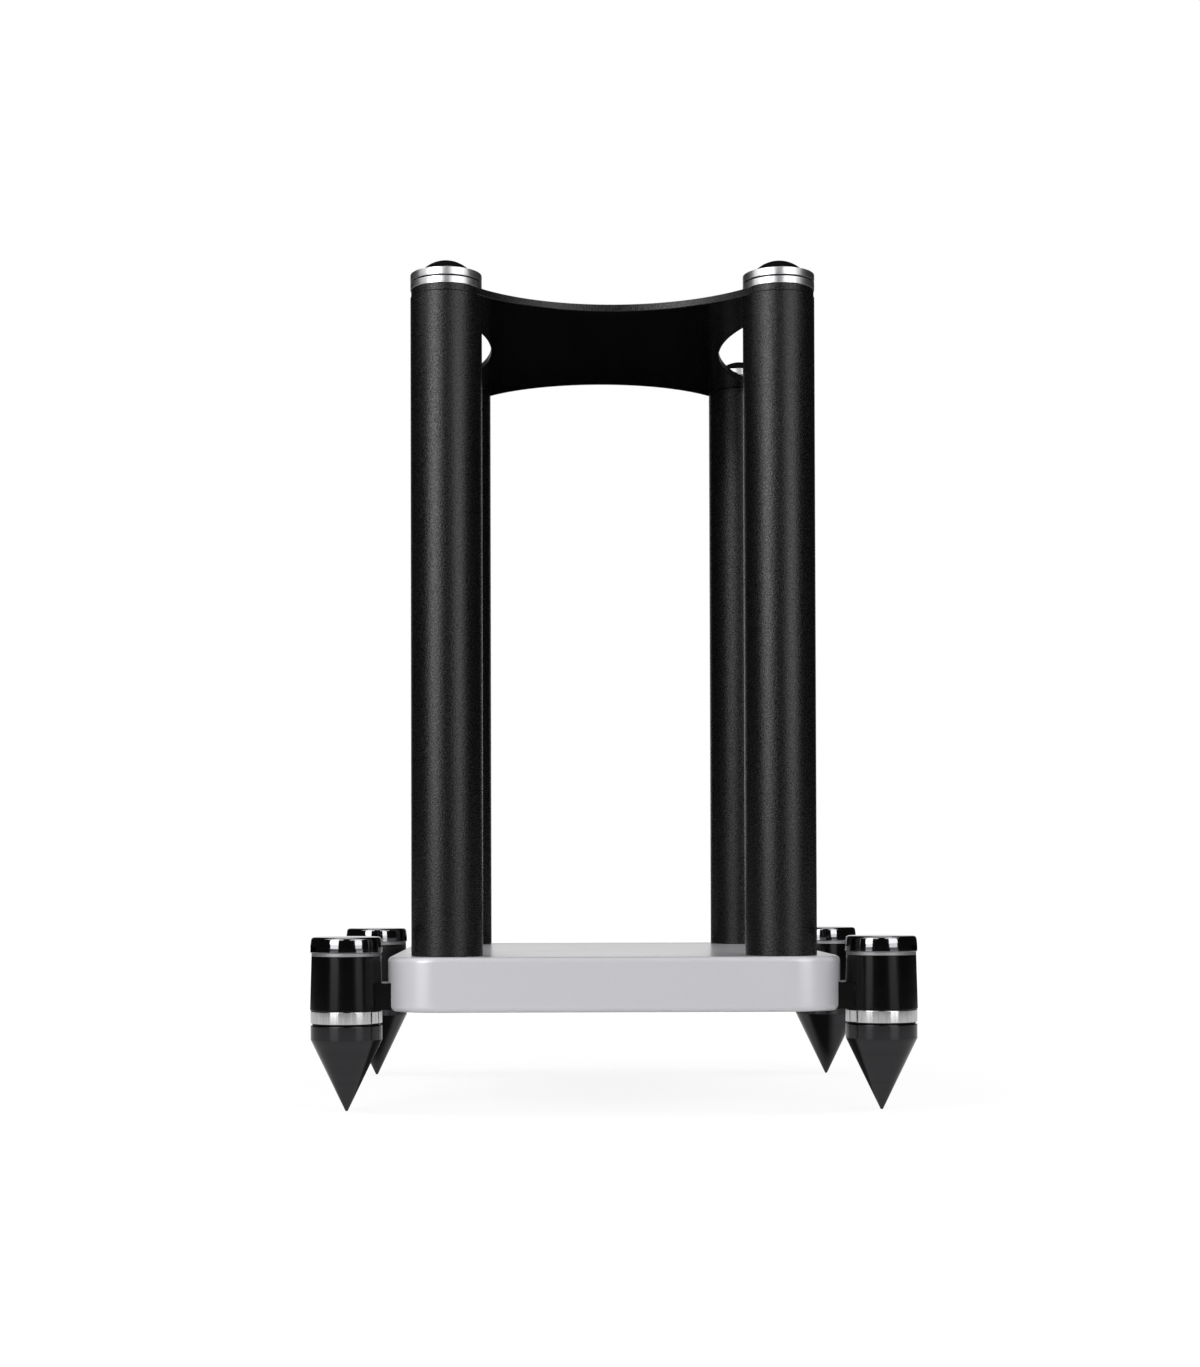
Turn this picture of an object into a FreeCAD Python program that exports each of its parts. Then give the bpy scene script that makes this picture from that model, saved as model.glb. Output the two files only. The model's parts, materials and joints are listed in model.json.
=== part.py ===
import FreeCAD, Part
import math
import os

# Speaker stand: four tube columns between a thick base board and a thin hourglass top plate,
# on four spike feet that are levelled from above.
# Millimetres, +Z up, +Y to the rear. The origin is on the floor, under the middle of the stand.
# The spike tips stand on z = 0.

# Columns: the insets are from the board's edges to the column's axis
column_diameter = 50.0
column_wall = 3.0
column_length = 460.0
column_inset_x = 41.5
column_inset_y = 32.0
plug_height = 18.0

# Base board
base_width = 316.0
base_depth = 364.0
base_thickness = 38.0
base_corner_radius = 36.0
base_edge_radius = 4.0

# Top plate: each hollow is the depth of an arc inside the line of the column axes
plate_thickness = 5.0
plate_side_hollow = 28.5
plate_front_hollow = 33.9
plate_ear_inset = 0.5
plate_edge_chamfer = 0.4

# Speaker pads over the columns
clamp_disc_height = 4.7
pad_disc_height = 6.3
disc_edge_chamfer = 0.45
dome_diameter = 38.6
dome_height = 10.0
dome_flat_diameter = 5.0
dome_seat_depth = 1.0

# Feet: how far each axis stands out from the board's side, and in from its front or rear edge
foot_offset = 29.0
foot_inset = 35.0

# Spike and its stud
spike_diameter = 49.8
spike_cone_height = 50.0
spike_rim_height = 10.0
spike_tip_diameter = 1.6
spike_edge_chamfer = 0.5
spike_neck_diameter = 46.8
spike_neck_height = 1.4
stud_diameter = 12.0
stud_flats = 10.0
stud_seat_depth = 15.0
stud_reach = 52.0

# Lock ring, with its threaded spigot
ring_diameter = 49.8
ring_height = 8.6
ring_edge_chamfer = 0.4
spigot_diameter = 41.9
spigot_height = 8.0

# Housing: a tapered cylinder, level with the base board, with an arm let into the board
housing_top_diameter = 48.6
housing_foot_diameter = 50.6
housing_edge_radius = 1.0
arm_width = 26.0
arm_height = 18.5
arm_recess = 1.0
tongue_length = 25.0

# Guide bush, keyed to the housing
bush_height = 6.0
key_width = 5.0
key_height = 2.0

# Threaded sleeve under the knob
sleeve_diameter = 24.0
sleeve_flange_diameter = 36.0
sleeve_flange_height = 6.0

# Thrust washer and knob
thrust_washer_height = 2.4
knob_diameter = 50.1
knob_height = 11.0
knob_edge_radius = 2.4
knob_roof = 3.4

# Column fasteners
bolt_diameter = 8.0
bolt_length = 40.0
bolt_head_diameter = 13.0
bolt_head_height = 8.0
bolt_hex = 6.0
bolt_hex_depth = 4.0
washer_diameter = 16.0
washer_thickness = 1.6
bolt_recess = 2.4
clamp_stud_depth = 14.0

# Screws through the arms
screw_diameter = 6.0
screw_length = 25.0
screw_head_diameter = 10.0
screw_head_height = 6.0
screw_hex = 5.0
screw_hex_depth = 3.0
screw_recess = 0.5
screw_pitch = 12.0

# Clearances, all measured from surface to surface
thread_gap = 0.05
running_gap = 0.05
press_gap = 0.02
free_gap = 0.3
bolt_hole_gap = 0.3
head_gap = 0.5
end_gap = 0.3

corners = {"fl": (-1, -1), "fr": (1, -1), "rl": (-1, 1), "rr": (1, 1)}

# Levels, from the floor up
spike_top = spike_cone_height + spike_rim_height
ring_bottom = spike_top + spike_neck_height
base_bottom = ring_bottom + ring_height
base_top = base_bottom + base_thickness
plate_bottom = base_top + column_length
plate_top = plate_bottom + plate_thickness
pad_bottom = plate_top + clamp_disc_height
pad_top = pad_bottom + pad_disc_height
dome_seat = pad_top - dome_seat_depth

# Levels inside a foot
spigot_top = base_bottom + spigot_height
bush_bottom = spigot_top + running_gap
bush_top = bush_bottom + bush_height
flange_bottom = bush_top + end_gap
flange_top = flange_bottom + sleeve_flange_height
knob_bottom = base_top + thrust_washer_height
knob_top = knob_bottom + knob_height
sleeve_top = knob_top - knob_roof
stud_bottom = spike_top - stud_seat_depth
stud_top = spike_top + stud_reach
arm_bottom = base_bottom + arm_recess
arm_top = arm_bottom + arm_height

# Places in plan
base_side = base_width / 2
base_front = base_depth / 2
column_x = base_side - column_inset_x
column_y = base_front - column_inset_y
column_radius = column_diameter / 2
foot_x = base_side + foot_offset
foot_y = base_front - foot_inset
tongue_end = base_side - tongue_length
tongue_middle = base_side - tongue_length / 2

# Recess for a column bolt's head and washer
bolt_seat = base_bottom + bolt_recess + bolt_head_height + washer_thickness
bolt_recess_radius = washer_diameter / 2 + head_gap


def save(name, shape):
    shape.exportStep("parts/" + name + ".step")
    print(name, len(shape.Solids), "solid(s)", round(shape.Volume, 1), "mm3")


def rod(diameter, bottom, top, x=0.0, y=0.0):
    """A plain upright cylinder between two levels."""
    return Part.makeCylinder(diameter / 2, top - bottom, FreeCAD.Vector(x, y, bottom))


def turned(profile):
    """A solid of revolution about Z from a closed outline of (radius, level) points."""
    points = [FreeCAD.Vector(radius, 0, level) for radius, level in profile]
    outline = Part.makePolygon(points + points[:1])
    return Part.Face(outline).revolve(FreeCAD.Vector(0, 0, 0), FreeCAD.Vector(0, 0, 1), 360)


def block(low_x, high_x, low_y, high_y, bottom, top):
    size = (high_x - low_x, high_y - low_y, top - bottom)
    return Part.makeBox(*size, FreeCAD.Vector(low_x, low_y, bottom))


def hexagon(across_flats, bottom, top):
    """An upright hexagonal prism, for a key socket."""
    radius = across_flats / math.sqrt(3)
    angles = [math.radians(60 * step) for step in range(7)]
    points = [FreeCAD.Vector(radius * math.cos(a), radius * math.sin(a), bottom) for a in angles]
    return Part.Face(Part.makePolygon(points)).extrude(FreeCAD.Vector(0, 0, top - bottom))


def chamfered_disc(diameter, bottom, top, chamfer):
    """A disc with the same small chamfer on both rims."""
    radius = diameter / 2
    return turned([(0, bottom), (radius - chamfer, bottom), (radius, bottom + chamfer),
                   (radius, top - chamfer), (radius - chamfer, top), (0, top)])


def moved(shape, x, y):
    copy = shape.copy()
    copy.translate(FreeCAD.Vector(x, y, 0))
    return copy


def at_columns(shape):
    """One copy of a shape, drawn on the Z axis, at each column."""
    return [moved(shape, sx * column_x, sy * column_y) for sx, sy in corners.values()]


def edges_at_level(shape, level):
    """The edges that lie in one horizontal plane."""
    tolerance = 0.001
    return [edge for edge in shape.Edges
            if abs(edge.BoundBox.ZMin - level) < tolerance and abs(edge.BoundBox.ZMax - level) < tolerance]


def socket_screw(diameter, length, head_diameter, head_height, hex_size, hex_depth, head_bottom):
    """A socket-head screw on the Z axis that points up, with its key socket at the bottom."""
    head_top = head_bottom + head_height
    head = rod(head_diameter, head_bottom, head_top)
    shank = rod(diameter, head_top, head_top + length)
    return head.fuse(shank).removeSplitter().cut(hexagon(hex_size, head_bottom, head_bottom + hex_depth))


# Arm screws lie in a line along the tongue, the same for every foot.
# Each foot is drawn at the origin with its arm along +X, then turned and moved to its place.
screw_seat = arm_bottom + screw_recess + screw_head_height
screw_distances = [foot_x - tongue_middle - screw_pitch / 2, foot_x - tongue_middle + screw_pitch / 2]
arm_screw = socket_screw(screw_diameter, screw_length, screw_head_diameter, screw_head_height,
                         screw_hex, screw_hex_depth, arm_bottom + screw_recess)


def at_foot(shape, corner):
    """A copy of a shape, drawn for an arm along +X, at one foot with its arm towards the board."""
    sx, sy = corners[corner]
    copy = shape.copy()
    if sx > 0:
        copy.rotate(FreeCAD.Vector(0, 0, 0), FreeCAD.Vector(0, 0, 1), 180)
    copy.translate(FreeCAD.Vector(sx * foot_x, sy * foot_y, 0))
    return copy


def base_plate():
    """The base board, with bolt holes under the columns and a pocket for each arm."""
    slab = block(-base_side, base_side, -base_front, base_front, base_bottom, base_top)
    upright = [edge for edge in slab.Edges if edge.BoundBox.ZLength > base_thickness / 2]
    slab = slab.makeFillet(base_corner_radius, upright)
    slab = slab.makeFillet(base_edge_radius, edges_at_level(slab, base_bottom) + edges_at_level(slab, base_top))
    bolt_hole = rod(bolt_diameter + 2 * bolt_hole_gap, base_bottom, base_top)
    head_hole = rod(2 * bolt_recess_radius, base_bottom, bolt_seat)
    cuts = at_columns(bolt_hole.fuse(head_hole))
    tongue_near = foot_x - base_side
    tongue_far = foot_x - tongue_end + free_gap
    side = arm_width / 2 + free_gap
    pocket = block(tongue_near, tongue_far, -side, side, base_bottom, arm_top)
    pilot = rod(screw_diameter + 2 * thread_gap, arm_top, screw_seat + screw_length + end_gap)
    pilots = [moved(pilot, distance, 0) for distance in screw_distances]
    for corner in corners:
        cuts += [at_foot(shape, corner) for shape in [pocket] + pilots]
    return slab.cut(cuts)


def top_plate():
    """The top plate: round ears over the columns, joined by four concave arcs tangent to them."""
    ear = column_radius - plate_ear_inset
    front_waist = column_y - plate_front_hollow
    side_waist = column_x - plate_side_hollow
    front_radius = (column_x ** 2 + plate_front_hollow ** 2 - ear ** 2) / (2 * (plate_front_hollow + ear))
    side_radius = (column_y ** 2 + plate_side_hollow ** 2 - ear ** 2) / (2 * (plate_side_hollow + ear))
    front_centre = front_waist + front_radius
    side_centre = side_waist + side_radius

    def touch(sx, sy, towards_x, towards_y):
        """The point where an ear meets the arc whose centre is given."""
        centre = FreeCAD.Vector(sx * column_x, sy * column_y, plate_bottom)
        way = FreeCAD.Vector(towards_x, towards_y, plate_bottom) - centre
        return centre + way.normalize() * ear

    edges = []
    for sx, sy in [(1, 1), (-1, 1), (-1, -1), (1, -1)]:
        on_front = touch(sx, sy, 0, sy * front_centre)
        on_side = touch(sx, sy, sx * side_centre, 0)
        half = ear / math.sqrt(2)
        outer = FreeCAD.Vector(sx * (column_x + half), sy * (column_y + half), plate_bottom)
        edges.append(Part.Arc(on_front, outer, on_side).toShape())
    for sign in (1, -1):
        front_ends = [touch(sx, sign, 0, sign * front_centre) for sx in (1, -1)]
        front_middle = FreeCAD.Vector(0, sign * front_waist, plate_bottom)
        edges.append(Part.Arc(front_ends[0], front_middle, front_ends[1]).toShape())
        side_ends = [touch(sign, sy, sign * side_centre, 0) for sy in (1, -1)]
        side_middle = FreeCAD.Vector(sign * side_waist, 0, plate_bottom)
        edges.append(Part.Arc(side_ends[0], side_middle, side_ends[1]).toShape())
    outline = Part.Wire(Part.__sortEdges__(edges))
    plate = Part.Face(outline).extrude(FreeCAD.Vector(0, 0, plate_thickness))
    rims = edges_at_level(plate, plate_bottom) + edges_at_level(plate, plate_top)
    plate = plate.makeChamfer(plate_edge_chamfer, rims)
    hole = rod(bolt_diameter + 2 * bolt_hole_gap, plate_bottom, plate_top)
    return plate.cut(at_columns(hole))


def column_tube():
    bore = column_diameter - 2 * column_wall
    return rod(column_diameter, base_top, plate_bottom).cut(rod(bore, base_top, plate_bottom))


def column_plug(bottom):
    """A tapped steel plug that fills one end of a tube."""
    plug = rod(column_diameter - 2 * column_wall - 2 * press_gap, bottom, bottom + plug_height)
    return plug.cut(rod(bolt_diameter + 2 * thread_gap, bottom, bottom + plug_height))


def bolt_washer():
    washer = rod(washer_diameter, bolt_seat - washer_thickness, bolt_seat)
    return washer.cut(rod(bolt_diameter + 2 * bolt_hole_gap, bolt_seat - washer_thickness, bolt_seat))


def clamp_disc():
    disc = chamfered_disc(column_diameter, plate_top, pad_bottom, disc_edge_chamfer)
    return disc.cut(rod(bolt_diameter + 2 * bolt_hole_gap, plate_top, pad_bottom))


def pad_disc():
    """The upper disc: tapped for the clamp stud, with a shallow seat for the dome."""
    disc = chamfered_disc(column_diameter, pad_bottom, pad_top, disc_edge_chamfer)
    seat = rod(dome_diameter + 2 * press_gap, dome_seat, pad_top)
    thread = rod(bolt_diameter + 2 * thread_gap, pad_bottom, dome_seat)
    return disc.cut([seat, thread])


def dome_pad():
    """A rubber dome: part of a ball over a short round foot, with a small flat at its crown."""
    edge = dome_diameter / 2
    flat = dome_flat_diameter / 2
    # The ball passes through the dome's rim and through the edge of its flat.
    centre = (dome_height ** 2 + flat ** 2 - edge ** 2) / (2 * dome_height)
    ball_radius = math.hypot(edge, centre)
    ball = Part.makeSphere(ball_radius, FreeCAD.Vector(0, 0, pad_top + centre))
    dome = ball.common(rod(dome_diameter, pad_top, pad_top + dome_height))
    return dome.fuse(rod(dome_diameter, dome_seat, pad_top)).removeSplitter()


def foot_housing():
    """Tapered cylinder with its arm, bored from below for ring, bush and sleeve."""
    foot = housing_foot_diameter / 2
    crown = housing_top_diameter / 2
    body = turned([(0, base_bottom), (foot, base_bottom), (crown, base_top), (0, base_top)])
    body = body.makeFillet(housing_edge_radius, edges_at_level(body, base_bottom))
    arm = block(0, foot_x - tongue_end, -arm_width / 2, arm_width / 2, arm_bottom, arm_top)
    body = body.fuse(arm).removeSplitter()
    thread_bore = rod(spigot_diameter + 2 * thread_gap, base_bottom, bush_top)
    flange_bore = rod(sleeve_flange_diameter + 2 * free_gap, bush_top, flange_top)
    neck_bore = rod(sleeve_diameter + 2 * running_gap, flange_top, base_top)
    key_end = spigot_diameter / 2 + key_height + free_gap
    key_side = key_width / 2 + free_gap
    keyway = block(-key_end, 0, -key_side, key_side, base_bottom, bush_top)
    cuts = [thread_bore, flange_bore, neck_bore, keyway]
    for distance in screw_distances:
        shank_hole = rod(screw_diameter + 2 * bolt_hole_gap, arm_bottom, arm_top, distance)
        head_hole = rod(screw_head_diameter + 2 * head_gap, arm_bottom, screw_seat, distance)
        cuts += [shank_hole, head_hole]
    return body.cut(cuts)


def double_d(diameter, flats, bottom, top):
    """A rod with two flats that face +Y and -Y."""
    radius = diameter / 2
    return rod(diameter, bottom, top).common(block(-radius, radius, -flats / 2, flats / 2, bottom, top))


def guide_bush():
    """A fixed bush: its key stops it turning, and its flats stop the stud turning."""
    bush = rod(spigot_diameter, bush_bottom, bush_top)
    key_end = spigot_diameter / 2 + key_height
    key = block(-key_end, 0, -key_width / 2, key_width / 2, bush_bottom, bush_top)
    opening = double_d(stud_diameter + 2 * running_gap, stud_flats + 2 * running_gap, bush_bottom, bush_top)
    return bush.fuse(key).removeSplitter().cut(opening)


def lock_ring():
    """The bright ring, with the spigot that screws up into the housing."""
    ring = chamfered_disc(ring_diameter, ring_bottom, base_bottom, ring_edge_chamfer)
    ring = ring.fuse(rod(spigot_diameter, base_bottom, spigot_top)).removeSplitter()
    return ring.cut(rod(stud_diameter + 2 * free_gap, ring_bottom, spigot_top))


def foot_spike():
    """Cone and rim in one piece, with a low neck that meets the ring and a hole for the stud."""
    radius = spike_diameter / 2
    neck = spike_neck_diameter / 2
    body = turned([(0, 0), (spike_tip_diameter / 2, 0), (radius - spike_edge_chamfer, spike_cone_height),
                   (radius, spike_cone_height + spike_edge_chamfer), (radius, spike_top - spike_edge_chamfer),
                   (radius - spike_edge_chamfer, spike_top), (neck, spike_top), (neck, ring_bottom),
                   (0, ring_bottom)])
    return body.cut(rod(stud_diameter + 2 * press_gap, stud_bottom, ring_bottom))


def spike_stud():
    """The threaded stud: round in the spike, with two flats above it."""
    return rod(stud_diameter, stud_bottom, ring_bottom).fuse(
        double_d(stud_diameter, stud_flats, ring_bottom, stud_top)).removeSplitter()


def knob_sleeve():
    """The turning nut: its flange bears up on the housing, its neck carries the knob."""
    flange = rod(sleeve_flange_diameter, flange_bottom, flange_top)
    neck = rod(sleeve_diameter, flange_top, sleeve_top)
    return flange.fuse(neck).removeSplitter().cut(
        rod(stud_diameter + 2 * thread_gap, flange_bottom, sleeve_top))


def thrust_washer():
    washer = rod(housing_top_diameter, base_top, knob_bottom)
    return washer.cut(rod(sleeve_diameter + 2 * free_gap, base_top, knob_bottom))


def foot_knob():
    """The round cap that is turned by hand, bored from below for the sleeve's neck."""
    cap = rod(knob_diameter, knob_bottom, knob_top)
    cap = cap.makeFillet(knob_edge_radius, edges_at_level(cap, knob_top))
    return cap.cut(rod(sleeve_diameter + 2 * press_gap, knob_bottom, sleeve_top))


# Pieces that stand at every column
column_parts = {
    "column_tube": column_tube(),
    "top_plug": column_plug(plate_bottom - plug_height),
    "bottom_plug": column_plug(base_top),
    "clamp_disc": clamp_disc(),
    "pad_disc": pad_disc(),
    "dome_pad": dome_pad(),
}

# Pieces that make up every foot
foot_parts = {
    "foot_housing": foot_housing(),
    "guide_bush": guide_bush(),
    "lock_ring": lock_ring(),
    "foot_spike": foot_spike(),
    "spike_stud": spike_stud(),
    "knob_sleeve": knob_sleeve(),
    "foot_knob": foot_knob(),
}

save("base_plate", base_plate())
save("top_plate", top_plate())
for corner, (sx, sy) in corners.items():
    for name, shape in column_parts.items():
        save(name + "_" + corner, moved(shape, sx * column_x, sy * column_y))
    for name, shape in foot_parts.items():
        save(name + "_" + corner, at_foot(shape, corner))

# Fasteners and washers that are all alike share a node
column_bolt = socket_screw(bolt_diameter, bolt_length + washer_thickness, bolt_head_diameter, bolt_head_height,
                           bolt_hex, bolt_hex_depth, base_bottom + bolt_recess)
clamp_stud = rod(bolt_diameter, plate_bottom - clamp_stud_depth, dome_seat - end_gap)
save("column_bolts", Part.makeCompound(at_columns(column_bolt)))
save("bolt_washers", Part.makeCompound(at_columns(bolt_washer())))
save("clamp_studs", Part.makeCompound(at_columns(clamp_stud)))
save("thrust_washers", Part.makeCompound([at_foot(thrust_washer(), corner) for corner in corners]))
save("arm_screws", Part.makeCompound([at_foot(moved(arm_screw, distance, 0), corner)
                                      for corner in corners for distance in screw_distances]))
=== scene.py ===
import json
import math

import bmesh
import bpy
from mathutils import Matrix, Vector


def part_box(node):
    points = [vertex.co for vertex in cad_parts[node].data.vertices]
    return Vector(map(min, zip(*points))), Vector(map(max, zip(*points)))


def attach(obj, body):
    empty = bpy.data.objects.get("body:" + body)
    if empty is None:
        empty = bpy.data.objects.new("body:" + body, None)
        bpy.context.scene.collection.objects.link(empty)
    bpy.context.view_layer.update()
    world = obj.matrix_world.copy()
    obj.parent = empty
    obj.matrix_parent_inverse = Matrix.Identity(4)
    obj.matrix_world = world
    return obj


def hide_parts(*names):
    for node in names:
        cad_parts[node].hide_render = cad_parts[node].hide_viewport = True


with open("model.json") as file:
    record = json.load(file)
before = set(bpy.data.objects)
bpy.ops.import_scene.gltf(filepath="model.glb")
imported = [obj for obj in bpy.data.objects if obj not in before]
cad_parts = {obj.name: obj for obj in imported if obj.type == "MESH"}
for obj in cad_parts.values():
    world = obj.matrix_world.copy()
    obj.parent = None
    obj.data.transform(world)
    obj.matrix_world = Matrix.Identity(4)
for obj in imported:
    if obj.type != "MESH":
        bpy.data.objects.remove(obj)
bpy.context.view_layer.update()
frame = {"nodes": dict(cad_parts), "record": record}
cadNodes = frame["nodes"]
corners = ["fl", "fr", "rl", "rr"]
print("frame loaded:", len(cadNodes), "nodes")


# Places and levels are read from the frame, so every piece sits where its CAD node is.

def middle(node):
    low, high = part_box(node)
    return (low + high) / 2


def levels(node):
    low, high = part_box(node)
    return low.z, high.z


def halfWidth(node):
    low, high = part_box(node)
    return (high.y - low.y) / 2


columnAxis = middle("column_tube_fl")
footAxis = middle("foot_spike_fl")


class Bench:
    # Lays nodes in one tree and joins them: a socket is linked, a plain value is set.

    def __init__(self, tree):
        self.tree = tree

    def add(self, kind, **settings):
        node = self.tree.nodes.new(kind)
        for key, value in settings.items():
            setattr(node, key, value)
        return node

    def feed(self, target, value):
        if isinstance(value, bpy.types.NodeSocket):
            self.tree.links.new(value, target)
        else:
            target.default_value = value

    def math(self, operation, *values):
        node = self.add("ShaderNodeMath", operation=operation)
        for socket, value in zip(node.inputs, values):
            self.feed(socket, value)
        return node.outputs[0]

    def vector(self, operation, *values):
        node = self.add("ShaderNodeVectorMath", operation=operation)
        for socket, value in zip(node.inputs, values):
            self.feed(socket, value)
        return node.outputs["Value" if operation == "LENGTH" else "Vector"]

    def mapped(self, value, before, after, smooth=False):
        node = self.add("ShaderNodeMapRange", interpolation_type="SMOOTHSTEP" if smooth else "LINEAR")
        for label, number in zip(("From Min", "From Max", "To Min", "To Max"), (*before, *after)):
            node.inputs[label].default_value = number
        self.feed(node.inputs["Value"], value)
        return node.outputs["Result"]

    def mixed(self, share, first, second):
        node = self.add("ShaderNodeMix")
        for label, value in (("Factor", share), ("A", first), ("B", second)):
            self.feed(node.inputs[label], value)
        return node.outputs["Result"]

    def split(self, vector):
        node = self.add("ShaderNodeSeparateXYZ")
        self.feed(node.inputs[0], vector)
        return node.outputs

    def joined(self, **parts):
        node = self.add("ShaderNodeCombineXYZ")
        for label, value in parts.items():
            self.feed(node.inputs[label], value)
        return node.outputs["Vector"]


# Finishes. Every one reads Object coordinates, in metres, so grain sizes are real sizes.

def newFinish(name):
    material = bpy.data.materials.new(name)
    material.use_nodes = True
    bench = Bench(material.node_tree)
    return material, bench, material.node_tree.nodes["Principled BSDF"], bench.add("ShaderNodeTexCoord")


def grain(bench, place, size, detail=2.0):
    # Noise whose blotches are about size metres across
    noise = bench.add("ShaderNodeTexNoise")
    noise.inputs["Scale"].default_value = 1 / size
    noise.inputs["Detail"].default_value = detail
    bench.feed(noise.inputs["Vector"], place)
    return noise.outputs["Fac"]


def twoColours(bench, share, first, second):
    node = bench.add("ShaderNodeMix", data_type="RGBA")
    a, b = [s for s in node.inputs if s.type == "RGBA"]
    a.default_value = (*first, 1)
    b.default_value = (*second, 1)
    bench.feed(node.inputs["Factor"], share)
    return [s for s in node.outputs if s.type == "RGBA"][0]


def bump(bench, height, depth, strength=1.0, under=None):
    node = bench.add("ShaderNodeBump")
    node.inputs["Strength"].default_value = strength
    node.inputs["Distance"].default_value = depth
    bench.feed(node.inputs["Height"], height)
    if under is not None:
        bench.feed(node.inputs["Normal"], under)
    return node.outputs["Normal"]


def coatedFinish(name, look):
    # Paint, powder coat or rubber: a base colour with fine speckle and a grained surface
    material, bench, shader, where = newFinish(name)
    place = where.outputs["Object"]
    # A powder coat takes its texture on top and on the sides and lies smooth where it faces down; there it
    # also loses its lighter speckle, painted shade that darkens the underside
    grainAndShadeMask = 1.0
    if look.get("smoothAndShadedBelow"):
        grainAndShadeMask = bench.mapped(bench.split(where.outputs["Normal"])["Z"], (-0.7, -0.3), (0, 1))
    speckle = bench.mapped(grain(bench, place, look["speckleSize"]), (0.35, 0.7), (0, 1))
    # Painted shade: faces that point down get no lighter speckle, so they come out darker
    speckle = bench.math("MULTIPLY", speckle, grainAndShadeMask)
    colour = twoColours(bench, speckle, look["colour"], look["speckleColour"])
    bench.feed(shader.inputs["Base Color"], colour)
    low, high = look["roughness"]
    cloud = bench.mapped(grain(bench, place, look["cloudSize"], detail=4.0), (0.3, 0.7), (0, high - low))
    bench.feed(shader.inputs["Roughness"], bench.math("MULTIPLY_ADD", cloud, grainAndShadeMask, low))
    normal = None
    for share in (1, 1 / 3):
        height = bench.math("MULTIPLY", grain(bench, place, look["grainSize"] * share), grainAndShadeMask)
        normal = bump(bench, height, look["grainDepth"] * share, look["grainStrength"], under=normal)
    bench.feed(shader.inputs["Normal"], normal)
    shader.inputs["Specular IOR Level"].default_value = look.get("specular", 0.5)
    shader.inputs["Coat Weight"].default_value = look.get("coat", 0)
    shader.inputs["Coat Roughness"].default_value = look.get("coatRoughness", 0.1)
    shader.inputs["Coat IOR"].default_value = look.get("coatIor", 1.5)
    return material


def turnedFinish(name, look, axis):
    # Metal from a lathe: fine rings round each piece's own axis, in colour, gloss and bump
    material, bench, shader, where = newFinish(name)
    place = where.outputs["Object"]
    # Distance from the nearest of the four upright axes, and the height: what the lathe cuts along
    fromAxis = bench.vector("SUBTRACT", bench.vector("ABSOLUTE", place), (abs(axis.x), abs(axis.y), 0))
    reach = bench.vector("LENGTH", bench.vector("MULTIPLY", fromAxis, (1, 1, 0)))
    along = bench.joined(X=reach, Z=bench.split(place)["Z"])
    rings = grain(bench, along, look["ringPitch"])
    if "streakSize" in look:
        broad = grain(bench, bench.vector("MULTIPLY", place, (1, 1, 0.04)), look["streakSize"])
    else:
        broad = grain(bench, along, look["ringPitch"] * 9, detail=3.0)
    stain = grain(bench, place, look["cloudSize"], detail=4.0)
    tone = bench.mapped(broad, (0.3, 0.7), (0, 1))
    bench.feed(shader.inputs["Base Color"], twoColours(bench, tone, look["colour"], look["ringColour"]))
    roughness = bench.math("ADD", bench.mapped(rings, (0.3, 0.7), look["roughness"]),
                           bench.mapped(stain, (0.3, 0.7), (0, look["stain"])))
    bench.feed(shader.inputs["Roughness"], roughness)
    bench.feed(shader.inputs["Normal"], bump(bench, rings, look["ringDepth"]))
    shader.inputs["Metallic"].default_value = 1.0
    return material


coatedLooks = {
    "silver_lacquer": dict(colour=(0.515, 0.508, 0.536), speckleColour=(0.535, 0.528, 0.554),
                           speckleSize=0.0006, cloudSize=0.03, roughness=(0.42, 0.5), grainSize=0.0016,
                           grainDepth=0.00001, grainStrength=0.15, coat=1.0, coatRoughness=0.22, coatIor=1.9),
    "textured_black": dict(colour=(0.0015, 0.0015, 0.0016), speckleColour=(0.005, 0.005, 0.0052),
                           speckleSize=0.0014, cloudSize=0.0011, roughness=(0.13, 0.42), grainSize=0.0011,
                           grainDepth=0.00022, grainStrength=1.0, specular=0.42, smoothAndShadedBelow=True),
    "dome_rubber": dict(colour=(0.0025, 0.0025, 0.0025), speckleColour=(0.004, 0.004, 0.004),
                        speckleSize=0.0008, cloudSize=0.008, roughness=(0.6, 0.8), grainSize=0.0008,
                        grainDepth=0.00004, grainStrength=0.5, specular=0.01),
    "satin_black": dict(colour=(0.001, 0.001, 0.0011), speckleColour=(0.002, 0.002, 0.0021),
                        speckleSize=0.0008, cloudSize=0.012, roughness=(0.17, 0.22), grainSize=0.0005,
                        grainDepth=0.00001, grainStrength=0.4, specular=0.22),
    "bush_plastic": dict(colour=(0.72, 0.7, 0.64), speckleColour=(0.68, 0.66, 0.6), speckleSize=0.001,
                         cloudSize=0.01, roughness=(0.4, 0.5), grainSize=0.0006, grainDepth=0.00002,
                         grainStrength=0.4),
}
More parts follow.
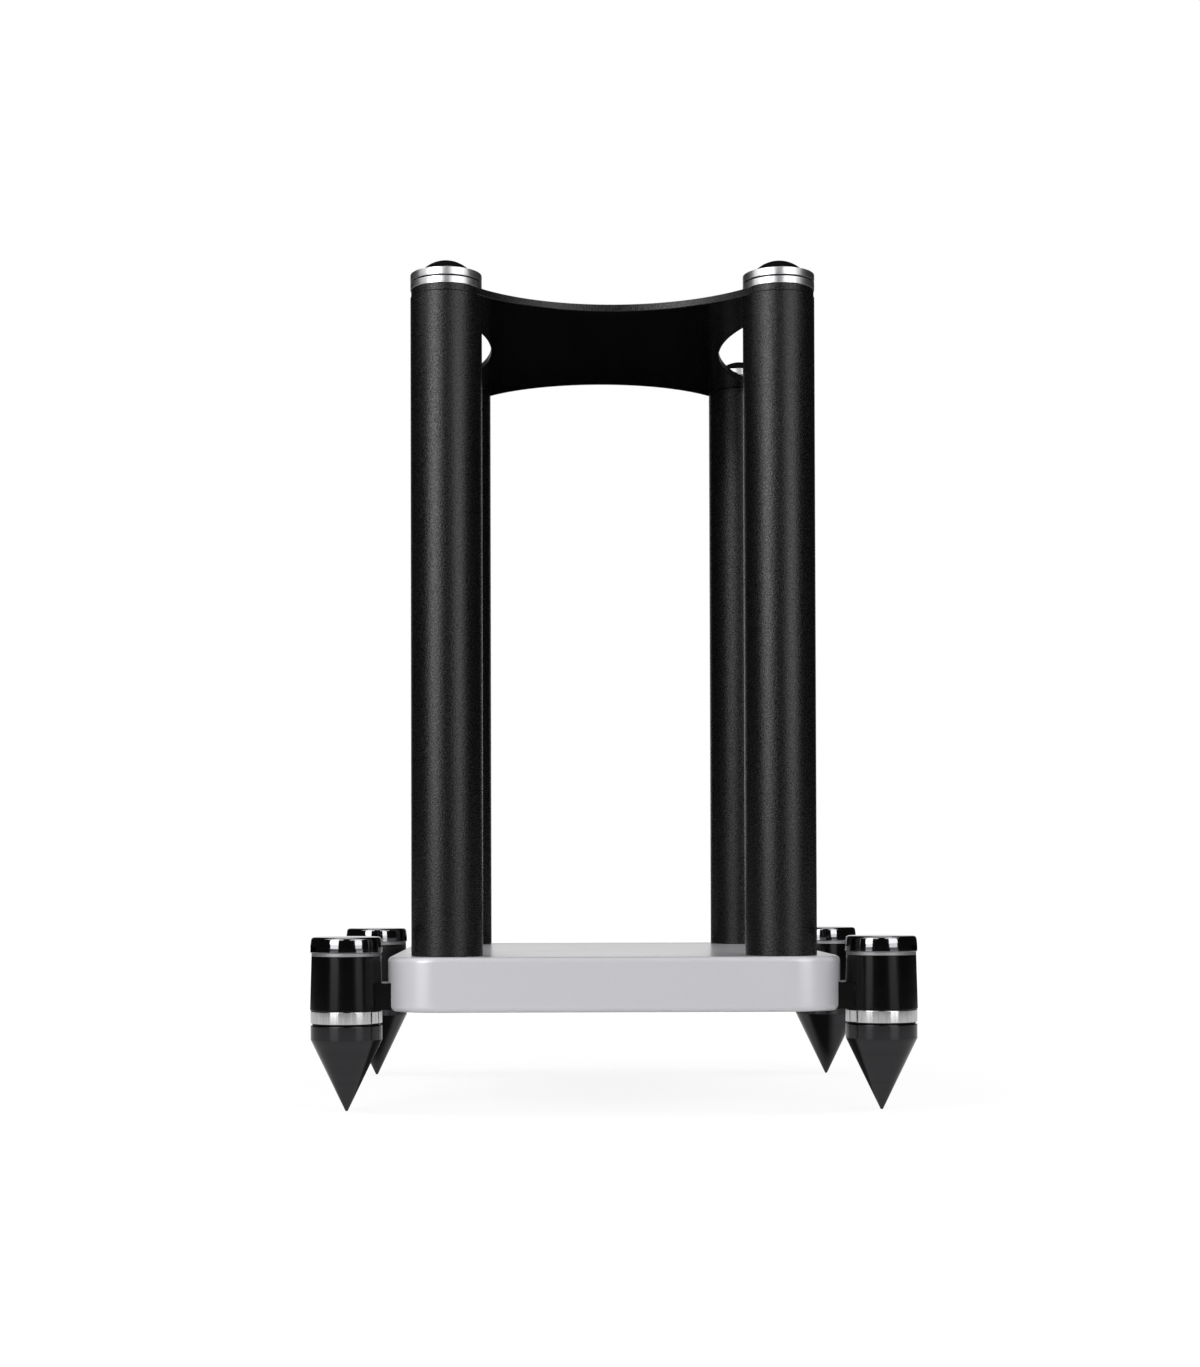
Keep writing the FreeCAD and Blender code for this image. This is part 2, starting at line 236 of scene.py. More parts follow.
turnedLooks = {
    "bright_aluminium": dict(colour=(0.86, 0.86, 0.87), ringColour=(0.82, 0.82, 0.84), ringPitch=0.00022,
                             ringDepth=0.0000015, cloudSize=0.012, roughness=(0.27, 0.33), stain=0.04),
    "gloss_black": dict(colour=(0.3, 0.3, 0.31), ringColour=(0.28, 0.28, 0.29), ringPitch=0.0006,
                        ringDepth=0.0000002, cloudSize=0.02, roughness=(0.04, 0.06), stain=0.03),
    "washer_steel": dict(colour=(0.42, 0.42, 0.43), ringColour=(0.37, 0.37, 0.38), ringPitch=0.0003,
                         ringDepth=0.000002, cloudSize=0.01, roughness=(0.45, 0.55), stain=0.05),
    "ring_aluminium": dict(colour=(0.84, 0.84, 0.85), ringColour=(0.68, 0.68, 0.69), ringPitch=0.00025,
                           streakSize=0.0014, ringDepth=0.0000008, cloudSize=0.01,
                           roughness=(0.07, 0.11), stain=0.03),
    "spike_steel": dict(colour=(0.062, 0.062, 0.065), ringColour=(0.052, 0.052, 0.055), ringPitch=0.0003,
                        ringDepth=0.000001, cloudSize=0.012, roughness=(0.11, 0.17), stain=0.03),
    "sleeve_brass": dict(colour=(0.7, 0.5, 0.2), ringColour=(0.62, 0.43, 0.17), ringPitch=0.0004,
                         ringDepth=0.000003, cloudSize=0.01, roughness=(0.25, 0.35), stain=0.08),
    "plug_steel": dict(colour=(0.42, 0.42, 0.43), ringColour=(0.36, 0.36, 0.37), ringPitch=0.0004,
                       ringDepth=0.000003, cloudSize=0.01, roughness=(0.32, 0.42), stain=0.08),
    "fastener_steel": dict(colour=(0.56, 0.56, 0.58), ringColour=(0.5, 0.5, 0.5), ringPitch=0.0004,
                           ringDepth=0.000002, cloudSize=0.004, roughness=(0.28, 0.38), stain=0.08),
}
turnedOnColumn = ("bright_aluminium", "plug_steel", "fastener_steel")
finishes = {slot: coatedFinish(slot, look) for slot, look in coatedLooks.items()}
for slot, look in turnedLooks.items():
    finishes[slot] = turnedFinish(slot, look, columnAxis if slot in turnedOnColumn else footAxis)
slotOf = {part["node"]: part["material_slot"] for part in frame["record"]["subparts"]}
for node, slot in slotOf.items():
    mesh = cadNodes[node].data
    mesh.materials.clear()
    mesh.materials.append(finishes[slot])
print("finishes:", len(finishes))


# Turned pieces: an outline swept round an axis by Geometry Nodes and repeated over the corners.
# Points nearer than merge are one point. Edges sharper than the angles, in degrees, stay crisp.
meshLook = dict(merge=0.000001, wideMerge=0.000002, flatAngle=0.2, turnedSharp=32, copySharp=24)


def rounded(outline, arcSteps):
    # Points (radius, level, rounding), with each rounded corner turned into a small arc
    points = []
    for index, (radius, level, rounding) in enumerate(outline):
        here = Vector((radius, level))
        if not rounding:
            points.append(here)
            continue
        before = (Vector(outline[index - 1][:2]) - here).normalized()
        after = (Vector(outline[index + 1][:2]) - here).normalized()
        half = before.angle(after) / 2
        reach = rounding / math.tan(half)
        centre = here + (before + after).normalized() * rounding / math.sin(half)
        start = here + before * reach - centre
        sweep = start.angle_signed(here + after * reach - centre)
        for step in range(arcSteps + 1):
            points.append(centre + Matrix.Rotation(-sweep * step / arcSteps, 2) @ start)
    return points


turnedInputs = [("Steps", "NodeSocketInt"), ("Place", "NodeSocketVector"),
                ("Count Across", "NodeSocketInt"), ("Count Deep", "NodeSocketInt"),
                ("Across", "NodeSocketFloat"), ("Deep", "NodeSocketFloat"), ("Finish", "NodeSocketMaterial")]
screwInputs = [("Key Reach", "NodeSocketFloat"), ("Key Top", "NodeSocketFloat"),
               ("In Line", "NodeSocketInt"), ("Pitch", "NodeSocketFloat")]


def newTree(name, inputs):
    tree = bpy.data.node_groups.new(name, "GeometryNodeTree")
    tree.interface.new_socket("Geometry", in_out="INPUT", socket_type="NodeSocketGeometry")
    for label, kind in inputs:
        tree.interface.new_socket(label, in_out="INPUT", socket_type=kind)
    tree.interface.new_socket("Geometry", in_out="OUTPUT", socket_type="NodeSocketGeometry")
    bench = Bench(tree)
    given = bench.add("NodeGroupInput").outputs
    return tree, bench, given, bench.add("NodeGroupOutput").inputs["Geometry"]


def swept(bench, given):
    # The outline swept once round the Z axis, with its seam and poles closed
    outline = bench.add("GeometryNodeMeshToCurve")
    bench.feed(outline.inputs["Mesh"], given["Geometry"])
    path = bench.add("GeometryNodeCurvePrimitiveCircle")
    path.inputs["Radius"].default_value = 1.0
    bench.feed(path.inputs["Resolution"], given["Steps"])
    sweep = bench.add("GeometryNodeCurveToMesh")
    bench.feed(sweep.inputs["Curve"], path.outputs["Curve"])
    bench.feed(sweep.inputs["Profile Curve"], outline.outputs["Curve"])
    closed = bench.add("GeometryNodeMergeByDistance")
    closed.inputs["Distance"].default_value = meshLook["wideMerge"]
    bench.feed(closed.inputs["Geometry"], sweep.outputs["Mesh"])
    return closed.outputs["Geometry"]


def gridOfPlaces(bench, given):
    # Points in rows, from Place, Count Across x Count Deep, Across and Deep apart
    row = bench.add("GeometryNodeMeshLine")
    bench.feed(row.inputs["Count"], given["Count Across"])
    bench.feed(row.inputs["Start Location"], given["Place"])
    bench.feed(row.inputs["Offset"], bench.joined(X=given["Across"]))
    file = bench.add("GeometryNodeMeshLine")
    bench.feed(file.inputs["Count"], given["Count Deep"])
    bench.feed(file.inputs["Offset"], bench.joined(Y=given["Deep"]))
    rows = bench.add("GeometryNodeInstanceOnPoints")
    bench.feed(rows.inputs["Points"], file.outputs["Mesh"])
    bench.feed(rows.inputs["Instance"], row.outputs["Mesh"])
    places = bench.add("GeometryNodeRealizeInstances")
    bench.feed(places.inputs["Geometry"], rows.outputs["Instances"])
    return places.outputs["Geometry"]


def repeated(bench, given, result, points, shape):
    # The shape at every point, made real and given its finish
    copies = bench.add("GeometryNodeInstanceOnPoints")
    bench.feed(copies.inputs["Points"], points)
    bench.feed(copies.inputs["Instance"], shape)
    real = bench.add("GeometryNodeRealizeInstances")
    bench.feed(real.inputs["Geometry"], copies.outputs["Instances"])
    paint = bench.add("GeometryNodeSetMaterial")
    bench.feed(paint.inputs["Geometry"], real.outputs["Geometry"])
    bench.feed(paint.inputs["Material"], given["Finish"])
    bench.feed(result, paint.outputs["Geometry"])


def moved(bench, geometry, offset, chosen=True):
    node = bench.add("GeometryNodeSetPosition")
    bench.feed(node.inputs["Geometry"], geometry)
    bench.feed(node.inputs["Offset"], offset)
    bench.feed(node.inputs["Selection"], chosen)
    return node.outputs["Geometry"]


def makeTurnedTree():
    tree, bench, given, result = newTree("turnedPieces", turnedInputs)
    repeated(bench, given, result, gridOfPlaces(bench, given), swept(bench, given))
    return tree


def makeScrewTree():
    tree, bench, given, result = newTree("socketScrews", turnedInputs + screwInputs)
    # The round key socket is pushed out into a hexagon
    x, y, z = bench.split(bench.add("GeometryNodeInputPosition").outputs["Position"])
    side = bench.math("FLOORED_MODULO", bench.math("ARCTAN2", y, x), math.pi / 3)
    stretch = bench.math("DIVIDE", 1.0, bench.math("COSINE", bench.math("SUBTRACT", side, math.pi / 6)))
    push = bench.math("SUBTRACT", stretch, 1.0)
    offset = bench.joined(X=bench.math("MULTIPLY", x, push), Y=bench.math("MULTIPLY", y, push))
    narrow = bench.math("LESS_THAN", bench.vector("LENGTH", bench.joined(X=x, Y=y)), given["Key Reach"])
    low = bench.math("LESS_THAN", z, given["Key Top"])
    shape = moved(bench, swept(bench, given), offset, bench.math("MULTIPLY", narrow, low))
    # Screws in line step from each corner's place towards the middle
    line = bench.add("GeometryNodeDuplicateElements", domain="POINT")
    bench.feed(line.inputs["Geometry"], gridOfPlaces(bench, given))
    bench.feed(line.inputs["Amount"], given["In Line"])
    across = bench.split(bench.add("GeometryNodeInputPosition").outputs["Position"])["X"]
    step = bench.math("MULTIPLY", line.outputs["Duplicate Index"], given["Pitch"])
    inward = bench.math("MULTIPLY", bench.math("SIGN", across), bench.math("MULTIPLY", step, -1.0))
    points = moved(bench, line.outputs["Geometry"], bench.joined(X=inward))
    repeated(bench, given, result, points, shape)
    return tree


turnedTree = makeTurnedTree()
screwTree = makeScrewTree()


def newObject(name, mesh):
    obj = bpy.data.objects.new(name, mesh)
    bpy.context.scene.collection.objects.link(obj)
    return obj


def evenShading(obj, sharpAngle):
    # Soft over rounds and crisp at edges; large faces lead, so straight walls reflect straight
    obj.data.shade_smooth()
    obj.data.set_sharp_from_angle(angle=math.radians(sharpAngle))
    weighted = obj.modifiers.new("weighted", "WEIGHTED_NORMAL")
    weighted.keep_sharp = True
    weighted.weight = 80
    return obj


def settled(obj):
    # The live object becomes a plain mesh with its faces outwards
    bpy.context.view_layer.update()
    graph = bpy.context.evaluated_depsgraph_get()
    mesh = bpy.data.meshes.new_from_object(obj.evaluated_get(graph))
    obj.modifiers.clear()
    obj.data = mesh
    work = bmesh.new()
    work.from_mesh(mesh)
    bmesh.ops.remove_doubles(work, verts=work.verts, dist=meshLook["merge"])
    bmesh.ops.dissolve_degenerate(work, edges=work.edges, dist=meshLook["merge"])
    bmesh.ops.recalc_face_normals(work, faces=work.faces)
    work.to_mesh(mesh)
    work.free()
    return evenShading(obj, meshLook["turnedSharp"])


def turned(name, outline, finish, axis, four=True, steps=96, arcSteps=4, tree=turnedTree, **extra):
    # The sweep's circle has a radius of 1 m, and the outline hangs from it
    points = rounded(outline, arcSteps)
    mesh = bpy.data.meshes.new(name)
    lines = [(i, i + 1) for i in range(len(points) - 1)]
    mesh.from_pydata([(p.x - 1, -p.y, 0) for p in points], lines, [])
    obj = newObject(name, mesh)
    modifier = obj.modifiers.new("turned", "NODES")
    modifier.node_group = tree
    count = 2 if four else 1
    values = {"Steps": steps, "Place": (axis.x, axis.y, 0), "Count Across": count, "Count Deep": count,
              "Across": -2 * axis.x, "Deep": -2 * axis.y, "Finish": finishes[finish], **extra}
    for socket in tree.interface.items_tree:
        if socket.in_out == "INPUT" and socket.name in values:
            modifier[socket.identifier] = values[socket.name]
    return settled(obj)


def stand(obj, body, *replaced, slot=None):
    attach(obj, body)
    if replaced:
        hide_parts(*replaced)
    return obj


def fourOf(kind):
    return [kind + "_" + corner for corner in corners]


# Columns: tubes with softly broken ends
columnLook = dict(wall=0.003, endRounding=0.0005, steps=128)
low, high = levels("column_tube_fl")
radius = halfWidth("column_tube_fl")
bore = radius - columnLook["wall"]
edge = columnLook["endRounding"]
outline = [(bore, low, 0), (radius, low, edge), (radius, high, edge), (bore, high, 0), (bore, low, 0)]
tubes = turned("columnTubes", outline, "textured_black", columnAxis, steps=columnLook["steps"])
stand(tubes, "frame", *fourOf("column_tube"))

# Clamp discs under the pad discs, with a fine joint between them
discLook = dict(jointBevel=0.0002, crownBevel=0.00045, hole=0.0043, grooveHigh=0.0011, grooveDeep=0.0012,
                seatGap=0.00003, steps=128)
low, high = levels("clamp_disc_fl")
radius = halfWidth("clamp_disc_fl")
bevel = discLook["jointBevel"]
hole = discLook["hole"]
outline = [(hole, low, 0), (radius, low, bevel), (radius, high, bevel), (hole, high, 0), (hole, low, 0)]
clampDiscs = turned("clampDiscs", outline, "bright_aluminium", columnAxis, steps=discLook["steps"])
stand(clampDiscs, "frame", *fourOf("clamp_disc"))

# Pad discs: a groove round the foot and a seat for the dome
domeLow, domeHigh = levels("dome_pad_fl")
domeRadius = halfWidth("dome_pad_fl")
low, high = levels("pad_disc_fl")
seat = domeRadius + discLook["seatGap"]
grooveTop = low + discLook["grooveHigh"]
grooveIn = radius - discLook["grooveDeep"]
outline = [(hole, low, 0), (grooveIn, low, 0), (grooveIn, grooveTop, 0), (radius, grooveTop, bevel),
           (radius, high, discLook["crownBevel"]), (seat, high, bevel), (seat, domeLow, 0),
           (hole, domeLow, 0), (hole, low, 0)]
padDiscs = turned("padDiscs", outline, "bright_aluminium", columnAxis, steps=discLook["steps"])
stand(padDiscs, "frame", *fourOf("pad_disc"))

# A dark band lies in each groove: painted shade for the shadow gap between the discs
grooveShadeLook = dict(proud=0.0003, sunk=0.0005, gap=0.00002)
bandIn, bandOut = grooveIn - grooveShadeLook["sunk"], grooveIn + grooveShadeLook["proud"]
bandLow, bandHigh = low + grooveShadeLook["gap"], grooveTop - grooveShadeLook["gap"]
outline = [(bandIn, bandLow, 0), (bandOut, bandLow, 0), (bandOut, bandHigh, 0), (bandIn, bandHigh, 0),
           (bandIn, bandLow, 0)]
grooveShade = turned("grooveShadeBands", outline, "dome_rubber", columnAxis, steps=discLook["steps"])
stand(grooveShade, "frame", slot="dome_rubber")

# Rubber domes: part of a ball on a short foot, with a small flat at the crown
domeLook = dict(flat=0.0025, ballSteps=20, footRounding=0.0002)
rise = domeHigh - high
centre = (rise ** 2 + domeLook["flat"] ** 2 - domeRadius ** 2) / (2 * rise)
ball = math.hypot(domeRadius, centre)
outline = [(0, domeLow, 0), (domeRadius, domeLow, domeLook["footRounding"]), (domeRadius, high, 0)]
for step in range(1, domeLook["ballSteps"] + 1):
    level = rise * math.sin(math.pi / 2 * step / domeLook["ballSteps"])
    outline.append((math.sqrt(max(ball ** 2 - (level - centre) ** 2, 0)), high + level, 0))
outline.append((0, domeHigh, 0))
stand(turned("rubberDomes", outline, "dome_rubber", columnAxis), "frame", *fourOf("dome_pad"))
print("columns and pads done")

# Spikes, dark rings of painted shade in their gaps, lock rings and knobs, each on its own foot
spikeLook = dict(tip=0.0008, tipRounding=0.0002, coneTop=0.050, shoulder=0.0005, neckHigh=0.0014,
                 neck=0.0226, neckEdge=0.0003, stud=0.00602, studHole=0.045)
gapShadeLook = dict(reach=0.0232, thick=0.0013, room=0.00005, steps=12)
ringLook = dict(edge=0.0004, spigot=0.02095, spigotEdge=0.0005, bore=0.0063)
knobLook = dict(edge=0.0024, lowerEdge=0.0006, straight=0.003, bend=0.039, bendSteps=8, roofInset=0.0003,
                roofShare=0.98, bore=0.01202, boreTop=0.118)
for corner in corners:
    node = "foot_spike_" + corner
    axis = middle(node)
    low, high = levels(node)
    radius = halfWidth(node)
    neckLow = high - spikeLook["neckHigh"]
    shoulder = spikeLook["shoulder"]
    outline = [(0, low, 0), (spikeLook["tip"], low, spikeLook["tipRounding"]),
               (radius, spikeLook["coneTop"], shoulder), (radius, neckLow, shoulder),
               (spikeLook["neck"], neckLow, 0), (spikeLook["neck"], high, spikeLook["neckEdge"]),
               (spikeLook["stud"], high, 0), (spikeLook["stud"], spikeLook["studHole"], 0),
               (0, spikeLook["studHole"], 0)]
    spike = turned("footSpike_" + corner, outline, "spike_steel", axis, four=False)
    stand(spike, "spike_" + corner, node)

    # A thin dark ring lies in the groove between spike and ring: painted shade that keeps the gap dark
    half = gapShadeLook["thick"] / 2
    level = high - gapShadeLook["room"] - half
    outline = [(gapShadeLook["reach"] + half * math.cos(a), level + half * math.sin(a), 0)
               for a in (math.tau * step / gapShadeLook["steps"] for step in range(gapShadeLook["steps"] + 1))]
    gapShade = turned("spikeGapShade_" + corner, outline, "satin_black", axis, four=False)
    stand(gapShade, "spike_" + corner, slot="satin_black")

    node = "lock_ring_" + corner
    low, high = levels(node)
    radius = halfWidth(node)
    flangeTop = levels("base_plate")[0]
    edge = ringLook["edge"]
    outline = [(ringLook["bore"], low, 0), (radius, low, edge), (radius, flangeTop, edge),
               (ringLook["spigot"], flangeTop, 0), (ringLook["spigot"], high, ringLook["spigotEdge"]),
               (ringLook["bore"], high, 0), (ringLook["bore"], low, 0)]
    ring = turned("lockRing_" + corner, outline, "ring_aluminium", axis, four=False)
    stand(ring, "ring_" + corner, node)

    # The knob's wall bends in slowly above its straight foot, then turns over the round edge
    node = "foot_knob_" + corner
    low, high = levels(node)
    radius = halfWidth(node)
    bend = knobLook["bend"]
    straightTop = low + knobLook["straight"]
    wallTop = high - knobLook["edge"]
    outline = [(0, knobLook["boreTop"], 0), (knobLook["bore"], knobLook["boreTop"], 0),
               (knobLook["bore"], low, 0), (radius, low, knobLook["lowerEdge"])]
    for step in range(knobLook["bendSteps"] + 1):
        rise = (wallTop - straightTop) * step / knobLook["bendSteps"]
        outline.append((radius - bend + math.sqrt(bend ** 2 - rise ** 2), straightTop + rise, 0))
    roof = outline[-1][0] - knobLook["roofInset"]
    outline += [(roof, high, knobLook["edge"] * knobLook["roofShare"]), (0, high, 0)]
    knob = turned("footKnob_" + corner, outline, "gloss_black", axis, four=False, arcSteps=12)
    stand(knob, "knob_" + corner, node)

# Thrust washers under the knobs
washerLook = dict(edge=0.0003, bore=0.0123)
low, high = levels("thrust_washers")
radius = halfWidth("thrust_washers") - abs(footAxis.y)
edge = washerLook["edge"]
bore = washerLook["bore"]
outline = [(bore, low, 0), (radius, low, edge), (radius, high, edge), (bore, high, 0), (bore, low, 0)]
stand(turned("thrustWashers", outline, "washer_steel", footAxis), "frame", "thrust_washers")
print("feet turned")


# Socket screws under the board: a round head with a hexagon key socket that opens downwards

def socketScrews(name, node, look, axis):
    low, high = levels(node)
    radius = halfWidth(node) - abs(axis.y)
    keyHalf = look["keyWidth"] / 2
    keyTop = low + look["keyDeep"]
    headTop = low + look["headHigh"]
    outline = [(0, keyTop, 0), (keyHalf, keyTop, 0), (keyHalf, low, 0), (radius, low, look["edge"]),
               (radius, headTop, look["rim"]), (look["shank"], headTop, 0),
               (look["shank"], high, look["shankEdge"]), (0, high, 0)]
    screws = turned(name, outline, slotOf[node], axis, steps=keyLook["steps"], tree=screwTree,
                    **{"Key Reach": keyHalf * keyLook["reachShare"], "Key Top": keyTop + keyLook["topRoom"],
                       "In Line": look["inLine"], "Pitch": look["pitch"]})
    return stand(screws, "frame", node)


# Only the key socket's own points lie inside this reach and below this level
keyLook = dict(reachShare=1.02, topRoom=0.00001, steps=48)
boltLook = dict(headHigh=0.008, shank=0.004, keyWidth=0.006, keyDeep=0.004, edge=0.0008, rim=0.0002,
                shankEdge=0.0004, inLine=1, pitch=0.0)
screwLook = dict(headHigh=0.006, shank=0.003, keyWidth=0.005, keyDeep=0.003, edge=0.0006, rim=0.0002,
                 shankEdge=0.0004, inLine=2, pitch=0.012)
socketScrews("columnBolts", "column_bolts", boltLook, columnAxis)
outerScrew = Vector((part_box("arm_screws")[0].x, footAxis.y, 0))
outerScrew.x += halfWidth("arm_screws") - abs(footAxis.y)
socketScrews("armScrews", "arm_screws", screwLook, outerScrew)

boltWasherLook = dict(edge=0.0002, bore=0.0043, steps=48)
low, high = levels("bolt_washers")
radius = halfWidth("bolt_washers") - abs(columnAxis.y)
edge, bore = boltWasherLook["edge"], boltWasherLook["bore"]
outline = [(bore, low, 0), (radius, low, edge), (radius, high, edge), (bore, high, 0), (bore, low, 0)]
boltWashers = turned("boltWashers", outline, slotOf["bolt_washers"], columnAxis,
                     steps=boltWasherLook["steps"])
stand(boltWashers, "frame", "bolt_washers")
print("screws and washers done")


# Smooth copies: the CAD triangles joined up, with soft shading over the curves

def smoothCopy(name, nodes):
    work = bmesh.new()
    for node in nodes:
        work.from_mesh(cadNodes[node].data)
    bmesh.ops.remove_doubles(work, verts=work.verts, dist=meshLook["wideMerge"])
    flat = math.radians(meshLook["flatAngle"])
    bmesh.ops.dissolve_limit(work, angle_limit=flat, verts=work.verts, edges=work.edges)
    mesh = bpy.data.meshes.new(name)
    work.to_mesh(mesh)
    work.free()
    mesh.materials.append(finishes[slotOf[nodes[0]]])
    return evenShading(newObject(name, mesh), meshLook["copySharp"])


for name, nodes in (("baseBoard", ["base_plate"]), ("topPlate", ["top_plate"]),
                    ("footHousings", fourOf("foot_housing"))):
    stand(smoothCopy(name, nodes), "frame", *nodes)
print("board, plate and housings done")

# Studio world: white to the eye, soft fill for plain light. In gloss, the white backdrop stands
# behind the stand and the rest of the room is dark.
worldLook = dict(fill=0.07, gloss=0.01, glossBackdrop=0.8, backdropEdge=(0.88, 0.995), white=1.0)
world = bpy.data.worlds.new("studio")
world.use_nodes = True
world.node_tree.nodes.clear()
bpy.context.scene.world = world
bench = Bench(world.node_tree)
path = bench.add("ShaderNodeLightPath").outputs
seen = bench.math("MAXIMUM", path["Is Camera Ray"], path["Is Transmission Ray"])
direction = bench.split(bench.add("ShaderNodeTexCoord").outputs["Generated"])
inGloss = bench.mapped(direction["Y"], worldLook["backdropEdge"],
                       (worldLook["gloss"], worldLook["glossBackdrop"]), smooth=True)
level = bench.mixed(path["Is Glossy Ray"], worldLook["fill"], inGloss)
sky = bench.add("ShaderNodeBackground")
sky.inputs["Color"].default_value = (1, 1, 1, 1)
bench.feed(sky.inputs["Strength"], bench.mixed(seen, level, worldLook["white"]))
bench.feed(bench.add("ShaderNodeOutputWorld").inputs["Surface"], sky.outputs["Background"])

# Floor: plain white with the stand's soft shadow. In gloss, it is lit round the stand, carries a painted
# shadow under the board and is dark far away.
floorLook = dict(colour=(0.8, 0.8, 0.8), glow=0.84, white=1.05, shadowReach=(0.5, 1.4), nearGloss=0.6,
                 farGloss=0.01, glossReach=(1.4, 1.7), glossBack=(0.8, 1.3), backShare=0.05,
                 boardHalf=(0.215, 0.14), boardEdge=(0.85, 1.05), shadowUnderShare=0.12, reach=12.0)
floorMaterial = bpy.data.materials.new("floorWhite")
floorMaterial.use_nodes = True
floorMaterial.node_tree.nodes.clear()
bench = Bench(floorMaterial.node_tree)
path = bench.add("ShaderNodeLightPath").outputs
seen = bench.math("MAXIMUM", path["Is Camera Ray"], path["Is Transmission Ray"])
place = bench.add("ShaderNodeTexCoord").outputs["Object"]
x, y, z = bench.split(place)
away = bench.vector("LENGTH", place)
plain = bench.add("ShaderNodeBsdfDiffuse")
plain.inputs["Color"].default_value = (*floorLook["colour"], 1)
glow = bench.add("ShaderNodeEmission")
glow.inputs["Strength"].default_value = floorLook["white"]
glowShare = bench.mapped(away, floorLook["shadowReach"], (floorLook["glow"], 1.0), smooth=True)
forEye = bench.add("ShaderNodeMixShader")
bench.feed(forEye.inputs["Fac"], bench.math("MULTIPLY", seen, glowShare))
bench.feed(forEye.inputs[1], plain.outputs["BSDF"])
bench.feed(forEye.inputs[2], glow.outputs["Emission"])
lit = bench.mapped(away, floorLook["glossReach"], (floorLook["nearGloss"], floorLook["farGloss"]),
                   smooth=True)
back = bench.mapped(y, floorLook["glossBack"], (1.0, floorLook["backShare"]), smooth=True)
# Painted shadow: in reflections the floor's glow is cut down in a soft rectangle under the board
acrossBoard = bench.math("DIVIDE", bench.math("ABSOLUTE", x), floorLook["boardHalf"][0])
deepBoard = bench.math("DIVIDE", bench.math("ABSOLUTE", y), floorLook["boardHalf"][1])
shadowUnderBoard = bench.mapped(bench.math("MAXIMUM", acrossBoard, deepBoard), floorLook["boardEdge"],
                          (floorLook["shadowUnderShare"], 1.0), smooth=True)
inGloss = bench.add("ShaderNodeEmission")
lit = bench.math("MULTIPLY", lit, back)
bench.feed(inGloss.inputs["Strength"], bench.math("MULTIPLY", lit, shadowUnderBoard))
surface = bench.add("ShaderNodeMixShader")
bench.feed(surface.inputs["Fac"], path["Is Glossy Ray"])
bench.feed(surface.inputs[1], forEye.outputs["Shader"])
bench.feed(surface.inputs[2], inGloss.outputs["Emission"])
bench.feed(bench.add("ShaderNodeOutputMaterial").inputs["Surface"], surface.outputs["Shader"])
floorMesh = bpy.data.meshes.new("floor")
reach = floorLook["reach"]
floorCorners = [(-reach, -reach, 0), (reach, -reach, 0), (reach, reach, 0), (-reach, reach, 0)]
floorMesh.from_pydata(floorCorners, [], [(0, 1, 2, 3)])
floorMesh.materials.append(floorMaterial)
newObject("floor", floorMesh)


# Lamps: soft boxes that the camera doesn't see. Azimuth 0 is the front, positive to the right.

def softBox(name, azimuth, distance, height, width, tall, radiance, facing=None, tilt=0.0, inGloss=True):
    lamp = bpy.data.lights.new(name, "AREA")
    lamp.shape = "RECTANGLE"
    lamp.size = width
    lamp.size_y = tall
    lamp.energy = radiance * math.pi * width * tall
    obj = newObject(name, lamp)
    turn = math.radians(azimuth)
    obj.location = (distance * math.sin(turn), -distance * math.cos(turn), height)
    heading = math.radians(azimuth if facing is None else facing)
    towards = Vector((-math.sin(heading), math.cos(heading), math.tan(math.radians(tilt))))
    obj.rotation_euler = towards.to_track_quat("-Z", "Y").to_euler()
    obj.visible_camera = False
    obj.visible_glossy = inGloss
    return obj


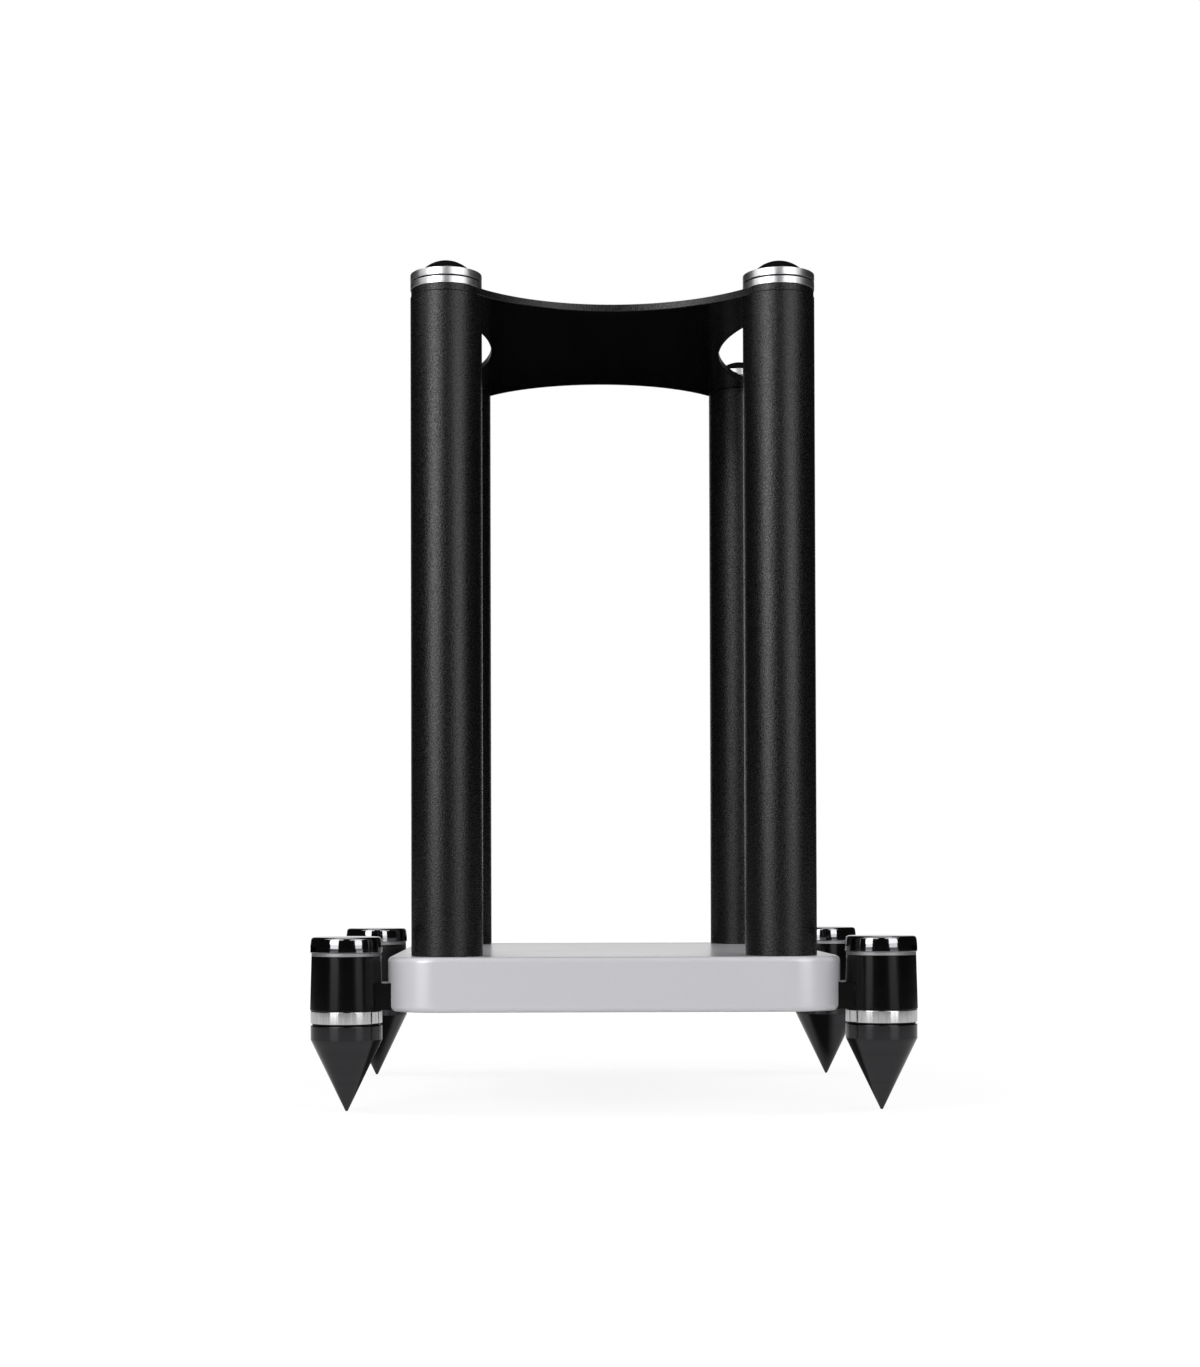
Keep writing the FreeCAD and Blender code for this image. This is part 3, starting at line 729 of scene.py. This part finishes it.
lampLook = dict(
    highBoxLeft=dict(azimuth=-33.5, distance=1.15, height=1.35, width=1.8, tall=1.0, radiance=1.9,
                     facing=-73.0, tilt=-10),
    highBoxRight=dict(azimuth=27.5, distance=1.32, height=1.35, width=1.55, tall=1.0, radiance=1.8,
                      facing=73.0, tilt=-10),
    midBoxLeft=dict(azimuth=-38, distance=1.3, height=0.525, width=0.55, tall=0.55, radiance=4.4),
    midBoxRight=dict(azimuth=34, distance=1.3, height=0.525, width=0.55, tall=0.55, radiance=3.1),
    shoulderBoxLeft=dict(azimuth=-36, distance=1.3, height=0.82, width=0.5, tall=0.14, radiance=8.0),
    lowBoxLeft=dict(azimuth=-37, distance=1.3, height=0.175, width=0.5, tall=0.15, radiance=2.7),
    lowBoxRight=dict(azimuth=34, distance=1.3, height=0.175, width=0.5, tall=0.15, radiance=2.1),
    floorStripLeft=dict(azimuth=-38, distance=1.3, height=0.037, width=0.5, tall=0.07, radiance=1.3),
    floorStripRight=dict(azimuth=37, distance=1.3, height=0.037, width=0.5, tall=0.07, radiance=1.3),
    topLight=dict(azimuth=180, distance=0.1, height=2.2, width=1.6, tall=1.2, radiance=1.7,
                  facing=180, tilt=-87.4),
    sideFillLeft=dict(azimuth=-97, distance=1.5, height=1.1, width=1.0, tall=1.0, radiance=5.2,
                      inGloss=False),
    sideFillRight=dict(azimuth=97, distance=1.5, height=1.1, width=1.0, tall=1.0, radiance=5.0,
                       inGloss=False),
    backFill=dict(azimuth=180, distance=1.8, height=0.8, width=2.0, tall=1.0, radiance=1.4,
                  inGloss=False),
)
for name, look in lampLook.items():
    softBox(name, **look)

# Camera: its place, turn and lens were solved from the edges in the photograph
cameraLook = dict(place=(-0.055375, -1.68262, 0.158828), yaw=-0.7005, pitch=0.8413, roll=-0.1441,
                  lens=57.821, shiftX=0.02812, shiftY=0.12216)
camera = bpy.data.cameras.new("camera")
camera.sensor_fit = "AUTO"
camera.sensor_width = 36
camera.lens = cameraLook["lens"]
camera.shift_x = cameraLook["shiftX"]
camera.shift_y = cameraLook["shiftY"]
cameraObject = newObject("camera", camera)
turn = (Matrix.Rotation(math.radians(cameraLook["yaw"]), 4, "Z")
        @ Matrix.Rotation(math.radians(90 + cameraLook["pitch"]), 4, "X")
        @ Matrix.Rotation(math.radians(cameraLook["roll"]), 4, "Z"))
cameraObject.matrix_world = Matrix.Translation(cameraLook["place"]) @ turn
bpy.context.scene.camera = cameraObject
bpy.context.scene.view_settings.view_transform = "Standard"
print("studio and camera done")
